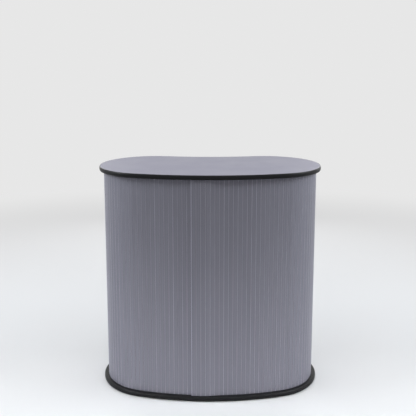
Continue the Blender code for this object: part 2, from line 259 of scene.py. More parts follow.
@dataclass(frozen=True)
class Finishes:
    """The finishes of the counter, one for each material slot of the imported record."""

    laminate: Finish = Finish("silver_laminate", (0.218, 0.212, 0.273), 0.38, Grain.PEARL, specular=0.38)
    dark: Finish = Finish("black_laminate", (0.007, 0.007, 0.008), 0.42, Grain.PEARL, specular=0.14)
    trim: Finish = Finish(
        "black_trim", (0.006, 0.006, 0.007), 0.42, Grain.MOULDED, specular=0.16, relief=0.00002
    )
    tambour: Finish = Finish(
        "silver_tambour", (0.186, 0.183, 0.222), 0.45, Grain.UPRIGHT, metallic=0.15, takes_tone_and_highlight=True
    )
    aluminium: Finish = Finish("satin_aluminium", (0.56, 0.57, 0.59), 0.32, Grain.DRAWN, metallic=1.0)
    zinc: Finish = Finish("zinc_casting", (0.42, 0.43, 0.44), 0.45, Grain.CAST, metallic=1.0, relief=0.0001)
    tape: Finish = Finish(
        "black_hook_tape", (0.018, 0.018, 0.019), 0.9, Grain.PILE, sheen=0.3, colour_share=0.4, relief=0.0006
    )
    rubber: Finish = Finish("grey_pad", (0.09, 0.09, 0.095), 0.65, Grain.MOULDED)


FINISHES = Finishes()


@dataclass(frozen=True)
class Tone:
    """A shade that multiplies the finish: the usual one, and how far a single one may be from it."""

    usual: float
    spread: float


@dataclass(frozen=True)
class Arc:
    """A round stretch in plan: the point that it turns about, its turn and its steps."""

    x: float
    y: float
    turn: float
    steps: int

    def matrix(self) -> Matrix:
        """Turn about the arc's point, as a matrix."""
        centre = Matrix.Translation((self.x, self.y, 0))
        return centre @ Matrix.Rotation(self.turn, 4, "Z") @ centre.inverted()


@dataclass(frozen=True)
class Plan:
    """The bean outline that the boards, the rims and the wall share, with its front at -Y."""

    width: float
    depth: float
    front_bulge: float = 0.0375
    waist_dip: float = 0.026
    wall_inset: float = 0.0195
    wall_thickness: float = 0.006
    rear_opening: float = 0.5
    step_sag: float = 0.00004

    @property
    def front_y(self) -> float:
        """Y of the front's middle."""
        return -self.depth / 2

    @property
    def lobe_radius(self) -> float:
        """Radius of the two lobes."""
        return (self.depth - self.front_bulge) / 2

    @property
    def lobe_x(self) -> float:
        """X of the right lobe's middle."""
        return self.width / 2 - self.lobe_radius

    @property
    def lobe_y(self) -> float:
        """Y of both lobes' middles."""
        return self.front_bulge / 2

    @property
    def front_radius(self) -> float:
        """Radius of the bowed front, which touches both lobes."""
        return self.lobe_radius + self.front_bulge / 2 + self.lobe_x**2 / (2 * self.front_bulge)

    @property
    def front_angle(self) -> float:
        """Half the turn of the bowed front."""
        return math.asin(self.lobe_x / (self.front_radius - self.lobe_radius))

    @property
    def waist_radius(self) -> float:
        """Radius of the hollow waist."""
        return (self.lobe_x**2 + self.waist_dip**2) / (2 * self.waist_dip) - self.lobe_radius

    @property
    def waist_angle(self) -> float:
        """Half the turn of the hollow waist."""
        return math.asin(self.lobe_x / (self.waist_radius + self.lobe_radius))

    @property
    def wall_line(self) -> float:
        """Inset of the wall's inner face."""
        return self.wall_inset + self.wall_thickness

    @property
    def front_run(self) -> float:
        """Length of half the front along the wall's inner face."""
        return self.front_angle * (self.front_radius - self.wall_line)

    @property
    def wall_end(self) -> float:
        """Where the wall ends at the open back.

        Returns:
            Distance along the wall's inner face, from the front's middle to either end.
        """
        radius = self.lobe_radius - self.wall_line
        angle = math.pi - math.asin((self.rear_opening / 2 - self.lobe_x) / radius)
        return self.front_run + (angle - self.front_angle) * radius

    def steps(self, radius: float, turn: float) -> int:
        """Steps that keep a round stretch within the allowed sag."""
        step = 2 * math.acos(1 - self.step_sag / radius)
        return max(1, math.ceil(abs(turn) / step))

    def front(self, turn: float) -> Arc:
        """Stretch of the bowed front."""
        return Arc(0, self.front_y + self.front_radius, turn, self.steps(self.front_radius, turn))

    def lobe(self, side: int, turn: float) -> Arc:
        """Stretch of the lobe on one side."""
        return Arc(side * self.lobe_x, self.lobe_y, turn, self.steps(self.lobe_radius, turn))

    def tour(self) -> list[Arc]:
        """Follow the whole outline.

        Returns:
            Its five stretches, from the front's middle past the right side and round.
        """
        lobe_turn = math.pi + self.waist_angle - self.front_angle
        waist_y = self.lobe_y + self.waist_radius + self.lobe_radius - self.waist_dip
        waist_turn = -2 * self.waist_angle
        waist = Arc(0, waist_y, waist_turn, self.steps(self.waist_radius, waist_turn))
        front = self.front(self.front_angle)
        return [front, self.lobe(1, lobe_turn), waist, self.lobe(-1, lobe_turn), front]

    def route(self, distance: float) -> list[Arc]:
        """Stretches from the front's middle to a distance along the wall, to either side.

        Args:
            distance: Distance along the wall's inner face, negative to the left.

        Returns:
            One or two arcs, in order.
        """
        side = -1 if distance < 0 else 1
        run = min(abs(distance), self.front_run)
        arcs = [self.front(side * run / (self.front_radius - self.wall_line))]
        rest = abs(distance) - run
        if rest > 0:
            arcs.append(self.lobe(side, side * rest / (self.lobe_radius - self.wall_line)))
        return arcs

    def carry(self, distance: float) -> Matrix:
        """Carry what is modelled at the front's middle along the wall.

        Args:
            distance: Distance along the wall's inner face, negative to the left.

        Returns:
            The matrix that does so.
        """
        result = Matrix.Identity(4)
        for arc in self.route(distance):
            result = arc.matrix() @ result
        return result


class Bench:
    """A piece on the bench: operators on one mesh, whose parts are picked by their place."""

    def __init__(self) -> None:
        """Take the primitive that was just added, in edit mode."""
        self.item = bpy.context.object

    @classmethod
    def point(cls, start: Vector) -> "Bench":
        """Begin a section with a plane that is drawn together into one point.

        Args:
            start: Where the section begins.

        Returns:
            The bench, with that point picked.
        """
        bpy.ops.object.select_all(action="DESELECT")
        bpy.ops.mesh.primitive_plane_add(enter_editmode=True)
        bpy.ops.mesh.merge(type="CENTER")
        bpy.ops.transform.translate(value=start)
        return cls()

    @classmethod
    def outline(cls, line: Sequence[Vector]) -> "Bench":
        """Draw a closed outline.

        Args:
            line: Its corners in order.

        Returns:
            The bench, with the outline picked.
        """
        bench = cls.point(line[0])
        bench.draw([*line, line[0]])
        bench.weld()
        return bench

    @classmethod
    def block(cls, low: Vector, high: Vector) -> "Bench":
        """Begin with a block.

        Args:
            low: Its lowest corner.
            high: Its highest corner.

        Returns:
            The bench, with the block picked.
        """
        bpy.ops.object.select_all(action="DESELECT")
        bpy.ops.mesh.primitive_cube_add(size=1, enter_editmode=True)
        bpy.ops.transform.resize(value=high - low, center_override=(0, 0, 0))
        bpy.ops.transform.translate(value=(low + high) / 2)
        return cls()

    @classmethod
    def disc(cls, centre: Vector, radius: float, height: float, sides: int) -> "Bench":
        """Begin with an upright cylinder.

        Args:
            centre: The point that it stands on.
            radius: Its radius at the corners.
            height: Its height.
            sides: How many sides stand for its round.

        Returns:
            The bench, with the cylinder picked.
        """
        bpy.ops.object.select_all(action="DESELECT")
        bpy.ops.mesh.primitive_cylinder_add(
            vertices=sides, radius=radius, depth=height, end_fill_type="NGON", enter_editmode=True
        )
        bpy.ops.transform.translate(value=centre + Vector((0, 0, height / 2)))
        return cls()

    def pick(self, test: Test, kind: str = "VERT") -> None:
        """Select only what passes a test.

        Args:
            test: Gets a vertex's place, an edge's middle or a face's middle, and with it the vertex's
                normal, the edge's run or the face's normal.
            kind: VERT, EDGE or FACE.
        """
        bpy.ops.mesh.select_mode(type=kind)
        bpy.ops.mesh.select_all(action="DESELECT")
        shape = bmesh.from_edit_mesh(self.item.data)
        if kind == "VERT":
            facts = [(part, part.co, part.normal) for part in shape.verts]
        elif kind == "EDGE":
            ends = [(part, part.verts[0].co, part.verts[1].co) for part in shape.edges]
            facts = [(part, (start + end) / 2, end - start) for part, start, end in ends]
        else:
            facts = [(part, part.calc_center_median(), part.normal) for part in shape.faces]
        for part, place, way in facts:
            part.select_set(test(place, way))
        bmesh.update_edit_mesh(self.item.data)

    def pick_all(self) -> None:
        """Select everything."""
        bpy.ops.mesh.select_all(action="SELECT")

    def draw(self, points: Sequence[Vector]) -> None:
        """Extrude the picked point along a line of points, of which it is the first."""
        for start, end in zip(points, points[1:]):
            bpy.ops.mesh.extrude_region_move(TRANSFORM_OT_translate={"value": end - start})

    def extrude(self, move: Sequence[float]) -> None:
        """Extrude what is picked by a move."""
        bpy.ops.mesh.extrude_region_move(TRANSFORM_OT_translate={"value": move})

    def inset(self, width: float) -> None:
        """Inset the picked faces."""
        bpy.ops.mesh.inset(thickness=width, depth=0, use_even_offset=True)

    def bevel(self, width: float, segments: int) -> None:
        """Round the picked edges."""
        bpy.ops.mesh.bevel(offset=width, segments=segments, affect="EDGES", clamp_overlap=True)

    def split(self, x: float) -> None:
        """Cut the whole mesh at an X, and keep both sides."""
        self.pick_all()
        bpy.ops.mesh.bisect(plane_co=(x, 0, 0), plane_no=(1, 0, 0))

    def move(self, offset: Sequence[float]) -> None:
        """Move what is picked."""
        bpy.ops.transform.translate(value=offset)

    def sweep(self, arcs: Iterable[Arc]) -> None:
        """Spin what is picked through arcs, end on end. The operator turns the other way."""
        for arc in arcs:
            bpy.ops.mesh.spin(steps=arc.steps, angle=-arc.turn, center=(arc.x, arc.y, 0), axis=(0, 0, 1))

    def weld(self) -> None:
        """Merge the points that lie on each other."""
        self.pick_all()
        bpy.ops.mesh.remove_doubles(threshold=WELD)

    def done(self, name: str) -> bpy.types.Object:
        """Turn the faces outwards, leave edit mode and smooth the round parts.

        Args:
            name: The piece's name.

        Returns:
            The finished object, with its place in its mesh.
        """
        bpy.ops.mesh.select_mode(type="VERT")
        self.pick_all()
        bpy.ops.mesh.normals_make_consistent(inside=False)
        bpy.ops.object.mode_set(mode="OBJECT")
        bpy.ops.object.transform_apply(location=True, rotation=True, scale=True)
        self.item.name = name
        self.item.data.name = name
        smooth(self.item)
        return self.item


def smooth(item: bpy.types.Object) -> None:
    """Smooth an object's shading except at its sharp edges.

    Args:
        item: The object, which also becomes the active one.
    """
    bpy.ops.object.select_all(action="DESELECT")
    item.select_set(True)
    bpy.context.view_layer.objects.active = item
    bpy.ops.object.shade_smooth_by_angle(angle=SMOOTH_ANGLE)


def faces_up(place: Vector, way: Vector) -> bool:
    """Test for the faces that look up."""
    return way.z > LEVEL


def runs_up(way: Vector) -> bool:
    """Whether an edge runs straight up."""
    return math.hypot(way.x, way.y) < WELD


def section(plan: Plan, points: Iterable[Point]) -> list[Vector]:
    """Stand a section of (inset, height) points in the front's middle."""
    return [Vector((0, plan.front_y + inset, height)) for inset, height in points]


def eased_side(edge: float, low: float, high: float, ease: float) -> list[Point]:
    """Outer side of a section between two heights, with its corners eased."""
    return [(edge + ease, low), (edge, low + ease), (edge, high - ease), (edge + ease, high)]


def swept_ring(plan: Plan, points: Sequence[Point], name: str) -> bpy.types.Object:
    """Draw a closed section and spin it round the whole plan into a ring.

    Args:
        plan: The plan to follow.
        points: The section's (inset, height) points.
        name: The ring's name.

    Returns:
        The ring.
    """
    bench = Bench.outline(section(plan, points))
    bench.sweep(plan.tour())
    bench.weld()
    return bench.done(name)


def swept_slab(plan: Plan, points: Sequence[Point], name: str) -> bpy.types.Object:
    """Draw the outer side of a board's section, spin it round the plan and close both faces.

    Args:
        plan: The plan to follow.
        points: The (inset, height) points of the outer side, from the lower face to the upper.
        name: The board's name.

    Returns:
        The board.
    """
    line = section(plan, points)
    bench = Bench.point(line[0])
    bench.draw(line)
    bench.pick_all()
    bench.sweep(plan.tour())
    bench.weld()
    bpy.ops.mesh.fill_holes(sides=0)
    return bench.done(name)


def swept_strip(plan: Plan, points: Sequence[Point], end: float, name: str) -> bpy.types.Object:
    """Draw a closed section and sweep it along the wall, as far to the left as to the right.

    Args:
        plan: The plan to follow.
        points: The section's (inset, height) points.
        end: Distance of both ends from the front's middle, along the wall.
        name: The strip's name.

    Returns:
        The strip.
    """
    bench = Bench.outline(section(plan, points))
    bpy.ops.mesh.edge_face_add()
    start = plan.carry(-end)
    for vert in bmesh.from_edit_mesh(bench.item.data).verts:
        vert.co = start @ vert.co
    back = [Arc(arc.x, arc.y, -arc.turn, arc.steps) for arc in reversed(plan.route(-end))]
    bench.sweep(back + plan.route(end))
    bench.weld()
    return bench.done(name)


def copies(master: bpy.types.Object, places: Sequence[Matrix], name: str) -> list[bpy.types.Object]:
    """Copy a piece to several places, each with a mesh of its own, and delete the first.

    Args:
        master: The piece, modelled once.
        places: A matrix for each copy.
        name: Start of the copies' names.

    Returns:
        The copies, numbered from 1.
    """
    made = []
    for number, place in enumerate(places, start=1):
        mesh = master.data.copy()
        mesh.transform(place)
        item = bpy.data.objects.new(f"{name}_{number}", mesh)
        mesh.name = item.name
        bpy.context.scene.collection.objects.link(item)
        made.append(item)
    bpy.data.objects.remove(master)
    return made


def joined(items: Sequence[bpy.types.Object], name: str) -> bpy.types.Object:
    """Join several objects into one piece.

    Args:
        items: The objects, of which the first takes up the others.
        name: The piece's name.

    Returns:
        The piece.
    """
    bpy.ops.object.select_all(action="DESELECT")
    for item in items:
        item.select_set(True)
    bpy.context.view_layer.objects.active = items[0]
    bpy.ops.object.join()
    items[0].name = name
    items[0].data.name = name
    return items[0]


def drill(item: bpy.types.Object, cutters: Iterable[bpy.types.Object]) -> None:
    """Take cutters out of a piece, delete them and clear the slivers that they leave.

    Args:
        item: The piece.
        cutters: What is taken out of it.
    """
    for cutter in cutters:
        bpy.ops.object.select_all(action="DESELECT")
        bpy.context.view_layer.objects.active = item
        hole = item.modifiers.new("hole", "BOOLEAN")
        hole.operation = "DIFFERENCE"
        hole.solver = "EXACT"
        hole.object = cutter
        bpy.ops.object.modifier_apply(modifier=hole.name)
        bpy.data.objects.remove(cutter)
    bpy.ops.object.mode_set(mode="EDIT")
    bpy.ops.mesh.select_all(action="SELECT")
    bpy.ops.mesh.remove_doubles(threshold=WELD)
    bpy.ops.mesh.select_all(action="SELECT")
    bpy.ops.mesh.quads_convert_to_tris(ngon_method="BEAUTY")
    bpy.ops.mesh.dissolve_degenerate(threshold=WELD)
    bpy.ops.object.mode_set(mode="OBJECT")
    smooth(item)


def present(item: bpy.types.Object, finish: Finish, body: Body, *stands_for: str) -> None:
    """Dress a finished piece, tie it to its body and hide the CAD nodes that it stands for.

    Args:
        item: The piece.
        finish: What it is made of.
        body: The body that it moves with.
        stands_for: The CAD nodes that it replaces.
    """
    item.data.materials.clear()
    item.data.materials.append(finish.make())
    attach(item, body.value)
    if stands_for:
        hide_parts(*stands_for)
    log.info("%s: %d faces on %s", item.name, len(item.data.polygons), body.value)


def present_each(items: Iterable[bpy.types.Object], finish: Finish, body: Body, node: str) -> None:
    """Present the numbered copies of a piece, each of which stands for the node with its number.

    Args:
        items: The copies, from number 1 on.
        finish: What they are made of.
        body: The body that they move with.
        node: Start of the CAD nodes' names.
    """
    for number, item in enumerate(items, start=1):
        present(item, finish, body, f"{node}_{number}")


def dress_node(name: str, finish: Finish) -> None:
    """Give a CAD node, which stays as it is, its finish.

    Args:
        name: The node's name.
        finish: What it is made of.
    """
    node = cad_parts[name]
    node.data.materials.clear()
    node.data.materials.append(finish.make())
    log.info("%s: CAD node kept", name)


def middle(node: str) -> Vector:
    """Middle of a CAD node's box in plan, at the height of its foot."""
    low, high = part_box(node)
    return Vector(((low.x + high.x) / 2, (low.y + high.y) / 2, low.z))


def middles(node: str, count: int) -> list[Vector]:
    """Middles of the CAD nodes that share a name and are numbered from 1."""
    return [middle(f"{node}_{number}") for number in range(1, count + 1)]


@dataclass
class EdgedBoard:
    """A bean board, its T-shaped edge trim, its rim and the tape round the rim."""

    plan: Plan
    side: str
    body: Body
    face: Finish
    nose: float = 0.004
    seat: float = 0.0003
    tongue: float = 0.009
    tongue_thickness: float = 0.0024
    edge_ease: float = 0.0004
    rim_ease: float = 0.001
    tape_gap: float = 0.0005
    tape_thickness: float = 0.0026
    tape_end_gap: float = 0.0125
    nose_steps: int = 16

    def build(self) -> None:
        """Build the four pieces."""
        self.board()
        self.trim()
        self.rim()
        self.tape()

    def board(self) -> None:
        """Board with a groove round its edge for the trim's tongue."""
        low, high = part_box(f"{self.side}_board")
        centre = (low.z + high.z) / 2
        half = self.tongue_thickness / 2 + self.seat
        edge = self.nose + self.seat
        floor = edge + self.tongue
        below, above = centre - half, centre + half
        groove = [(edge, below), (floor, below), (floor, above), (edge, above)]
        side = eased_side(edge, low.z, high.z, self.edge_ease)
        item = swept_slab(self.plan, side[:2] + groove + side[2:], f"{self.side}_panel")
        present(item, self.face, self.body, f"{self.side}_board")

    def trim(self) -> None:
        """Trim with a rounded nose and a tongue."""
        low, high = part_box(f"{self.side}_edge_trim")
        half = (high.z - low.z) / 2
        centre = low.z + half
        points = []
        for step in range(self.nose_steps + 1):
            angle = math.pi * step / self.nose_steps
            points.append((self.nose * (1 - math.sin(angle)), centre - half * math.cos(angle)))
        tongue = self.tongue_thickness / 2
        tip = self.nose + self.tongue
        points += [(self.nose, centre + tongue), (tip, centre + tongue)]
        points += [(tip, centre - tongue), (self.nose, centre - tongue)]
        item = swept_ring(self.plan, points, f"{self.side}_edging")
        present(item, FINISHES.trim, self.body, f"{self.side}_edge_trim")

    def rim(self) -> None:
        """Rim board with eased edges, which the wall wraps round."""
        low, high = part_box(f"{self.side}_rim")
        inset = self.plan.width / 2 - high.x
        points = eased_side(inset, low.z, high.z, self.rim_ease)
        item = swept_slab(self.plan, points, f"{self.side}_rim_panel")
        present(item, FINISHES.dark, self.body, f"{self.side}_rim")

    def tape(self) -> None:
        """Hook-and-loop tape between the rim and the wall."""
        low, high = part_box(f"{self.side}_rim_tape")
        outer = self.plan.wall_line + self.tape_gap
        inner = outer + self.tape_thickness
        points = ((outer, low.z), (inner, low.z), (inner, high.z), (outer, high.z))
        end = self.plan.wall_end - self.tape_end_gap
        item = swept_strip(self.plan, points, end, f"{self.side}_hook_tape")
        present(item, FINISHES.tape, self.body, f"{self.side}_rim_tape")


@dataclass
class Wall:
    """The slatted wall: two rolls lapped at the front, their hinges, lap tape and end channels."""

    plan: Plan
    pitch: float = 0.0194
    seam: float = 0.079
    lap_slats: int = 3
    ease_slats: int = 4
    lap_lift: float = 0.0081
    hinge_width: float = 0.0015
    hinge_seat: float = 0.0001
    hinge_drop: float = 0.0003
    hinge_back: float = 0.0003
    shoulder_drop: float = 0.0005
    groove_drop: float = 0.0006
    crown_round: float = 0.0034
    crown_steps: int = 4
    shoulder_round: float = 0.0004
    shoulder_steps: int = 2
    bead_share: float = 0.9
    bead_steps: int = 3
    # Slats differ in shade at random. A hinge's bead is partly a lighter strip and partly a painted highlight
    # on its crown, and the bead at the lap carries a brighter painted highlight where the roll's edge catches
    # light.
    slat_tone: Tone = Tone(1.0, 0.03)
    hinge_tone: Tone = Tone(2.55, 0.45)
    lap_highlight: Tone = Tone(4.1, 0.0)
    tone_seed: int = 7
    channel_depth: float = 0.012
    channel_wall: float = 0.0015
    channel_slip: float = 0.0005
    channel_round: float = 0.0003
    channel_steps: int = 2
    tape_gap: float = 0.0003
    tape_thickness: float = 0.0015
    foot: float = field(init=False)
    head: float = field(init=False)
    line: float = field(init=False)
    lap_end: float = field(init=False)
    shades: random.Random = field(init=False)

    def __post_init__(self) -> None:
        """Take the height from the CAD roll, and set out the wall's inner face and the lap."""
        low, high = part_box("wall_roll_left")
        self.foot = low.z
        self.head = high.z
        self.line = self.plan.front_y + self.plan.wall_line
        self.lap_end = -self.seam + self.lap_slats * self.pitch
        self.shades = random.Random(self.tone_seed)

    def build(self) -> None:
        """Build both rolls, the lap tape and the channels."""
        self.roll("left", -self.plan.wall_end, self.lap_end, lambda distance: 0.0)
        self.roll("right", -self.seam, self.plan.wall_end, self.lift)
        self.lap_tape()
        self.channels()

    def lift(self, distance: float) -> float:
        """Lift the right-hand roll over the lap, and ease it back to the wall's line after it.

        Args:
            distance: Distance along the wall's inner face.

        Returns:
            How far the roll stands out there.
        """
        share = (distance - self.lap_end) / (self.ease_slats * self.pitch)
        share = min(max(share, 0.0), 1.0)
        return self.lap_lift * (1 - share * share * (3 - 2 * share))

    def slat(self) -> bpy.types.Object:
        """Model one slat at the front's middle: a flat back and two rounded flutes in front.

        Returns:
            The slat, from which all others are copied.
        """
        half = (self.pitch - self.hinge_width) / 2
        front = self.line - self.plan.wall_thickness
        shoulder = front + self.shoulder_drop
        bench = Bench.block(Vector((-half, front, self.foot)), Vector((half, self.line, self.head)))
        for x in (-half / 2, 0, half / 2):
            bench.split(x)

        def in_front(place: Vector, x: float) -> bool:
            """Whether a point lies on the front face at an X, to either side."""
            return place.y < front + WELD and abs(abs(place.x) - x) < WELD

        def upright(place: Vector, way: Vector, x: float, y: float) -> bool:
            """Whether an edge runs straight up at an X, to either side, and a Y."""
            return runs_up(way) and abs(place.y - y) < WELD and abs(abs(place.x) - x) < WELD

        bench.pick(lambda place, way: in_front(place, 0))
        bench.move((0, self.groove_drop, 0))
        bench.pick(lambda place, way: in_front(place, half))
        bench.move((0, self.shoulder_drop, 0))
        bench.pick(lambda place, way: upright(place, way, half / 2, front), "EDGE")
        bench.bevel(self.crown_round, self.crown_steps)
        bench.pick(lambda place, way: upright(place, way, half, shoulder), "EDGE")
        bench.bevel(self.shoulder_round, self.shoulder_steps)
        return bench.done("slat")

    def hinge(self) -> bpy.types.Object:
        """Model one soft hinge at the front's middle, with a round bead in front.

        Returns:
            The hinge, from which all others are copied.
        """
        half = self.hinge_width / 2 - self.hinge_seat
        back = self.line - self.hinge_back
        front = self.line - self.plan.wall_thickness + self.hinge_drop
        bench = Bench.block(Vector((-half, front, self.foot)), Vector((half, back, self.head)))
        bench.pick(lambda place, way: place.y < front + WELD and runs_up(way), "EDGE")
        bench.bevel(half * self.bead_share, self.bead_steps)
        return bench.done("hinge")

    def roll(self, side: str, start: float, end: float, lift: Callable[[float], float]) -> None:
        """Lay slats and hinges between two distances along the wall.

        Args:
            side: Left or right, as the visitors see it.
            start: Distance of the roll's left end from the front's middle.
            end: Distance of its right end.
            lift: How far the roll stands out at a distance.
        """
        count = round((end - start) / self.pitch)
        joints = []
        for number in range(count + 1):
            distance = start + (end - start) * number / count
            joints.append(self.plan.carry(distance) @ Vector((0, self.line - lift(distance), 0)))
        chords = [right - left for left, right in zip(joints, joints[1:])]
        turns = [math.atan2(chord.y, chord.x) for chord in chords]
        self.lay_slats(side, joints, turns)
        self.lay_hinges(side, joints, turns)

    def lay_slats(self, side: str, joints: Sequence[Vector], turns: Sequence[float]) -> None:
        """Lay a roll's slats, each from one joint to the next.

        Args:
            side: Left or right.
            joints: Places of the roll's joints, and of both its ends.
            turns: Each slat's turn in plan.
        """
        places = []
        for left, right, turn in zip(joints, joints[1:], turns):
            size = Matrix.Scale((right - left).length / self.pitch, 4, (1, 0, 0))
            places.append(self.at((left + right) / 2, turn) @ size)
        slat = self.slat()
        everywhere = [True] * len(slat.data.vertices)
        slats = copies(slat, places, f"slat_{side}")
        for item in slats:
            self.shade(item, self.slat_tone, everywhere)
        rolled = joined(slats, f"slat_roll_{side}")
        present(rolled, FINISHES.tambour, Body.STAND, f"wall_roll_{side}")

    def lay_hinges(self, side: str, joints: Sequence[Vector], turns: Sequence[float]) -> None:
        """Set a hinge in each joint of a roll, after a first one that closes its end at the lap.

        Args:
            side: Left or right.
            joints: Places of the roll's joints, and of both its ends.
            turns: Each slat's turn in plan.
        """
        lap = 0 if side == "right" else -1
        places = [self.at(joints[lap], turns[lap])]
        for joint, before, after in zip(joints[1:], turns, turns[1:]):
            places.append(self.at(joint, before + math.remainder(after - before, math.tau) / 2))
        hinge = self.hinge()
        # Only the crown of a bead takes the lighter shade and painted highlight, because a hinge's side shows
        # at the roll's end.
        depths = [vert.co.y for vert in hinge.data.vertices]
        flank = max(y for y in depths if y < self.line - self.hinge_back - WELD)
        bead = [y < flank - WELD for y in depths]
        hinges = copies(hinge, places, f"hinge_{side}")
        # The first hinge, at the lap, takes the brightest painted highlight.
        for item, tone in zip(hinges, chain([self.lap_highlight], repeat(self.hinge_tone))):
            self.shade(item, tone, bead)
        present(joined(hinges, f"slat_hinges_{side}"), FINISHES.tambour, Body.STAND)

    def at(self, place: Vector, turn: float) -> Matrix:
        """Matrix that sets what is modelled at the front's middle at a place in plan."""
        back = Matrix.Translation((0, -self.line, 0))
        return Matrix.Translation(place) @ Matrix.Rotation(turn, 4, "Z") @ back

    def shade(self, item: bpy.types.Object, tone: Tone, lit: Sequence[bool]) -> None:
        """Give a slat a random shade of its own, or the crown of a hinge's bead a lighter shade with a
        painted highlight, which its finish reads.

        Args:
            item: The slat or hinge.
            tone: Its random shade, or the lighter shade and painted highlight of a bead.
            lit: For each point of its mesh, whether it takes the shade.
        """
        shade = tone.usual + tone.spread * self.shades.uniform(-1, 1)
        attribute = item.data.attributes.new(TONE_AND_HIGHLIGHT_ATTRIBUTE, "FLOAT", "POINT")
        attribute.data.foreach_set("value", [shade if takes else 1.0 for takes in lit])

    def lap_tape(self) -> None:
        """Hook-and-loop tape between the two rolls at the lap."""
        low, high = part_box("lap_tape")
        back = self.line - self.plan.wall_thickness - self.tape_gap
        front = back - self.tape_thickness
        bench = Bench.block(Vector((low.x, front, low.z)), Vector((high.x, back, high.z)))
        parts = 2 * self.lap_slats
        for number in range(1, parts):
            bench.split(low.x + (high.x - low.x) * number / parts)
        bow = self.plan.front_radius
        for vert in bmesh.from_edit_mesh(bench.item.data).verts:
            vert.co.y += bow - math.sqrt(bow**2 - vert.co.x**2)
        present(bench.done("lap_hook_tape"), FINISHES.tape, Body.STAND, "lap_tape")

    def channels(self) -> None:
        """Channel over the end of each roll, from a section drawn in plan and extruded up."""
        inside = self.line + self.channel_slip
        inside_face = inside + self.channel_wall
        outside = self.line - self.plan.wall_thickness - self.channel_slip
        outside_face = outside - self.channel_wall
        floor = self.channel_slip
        back = floor + self.channel_wall
        mouth = -self.channel_depth
        outline = (
            (mouth, inside), (mouth, inside_face), (back, inside_face), (back, outside_face),
            (mouth, outside_face), (mouth, outside), (floor, outside), (floor, inside),
        )
        for side, name in ((1, "right"), (-1, "left")):
            bench = Bench.outline([Vector((side * x, y, self.foot)) for x, y in outline])
            bpy.ops.mesh.edge_face_add()
            bench.extrude((0, 0, self.head - self.foot))
            bench.pick(lambda place, way: runs_up(way), "EDGE")
            bench.bevel(self.channel_round, self.channel_steps)
            item = bench.done(f"end_channel_{name}")
            item.data.transform(self.plan.carry(side * self.plan.wall_end))
            present(item, FINISHES.aluminium, Body.STAND, f"wall_channel_{name}")


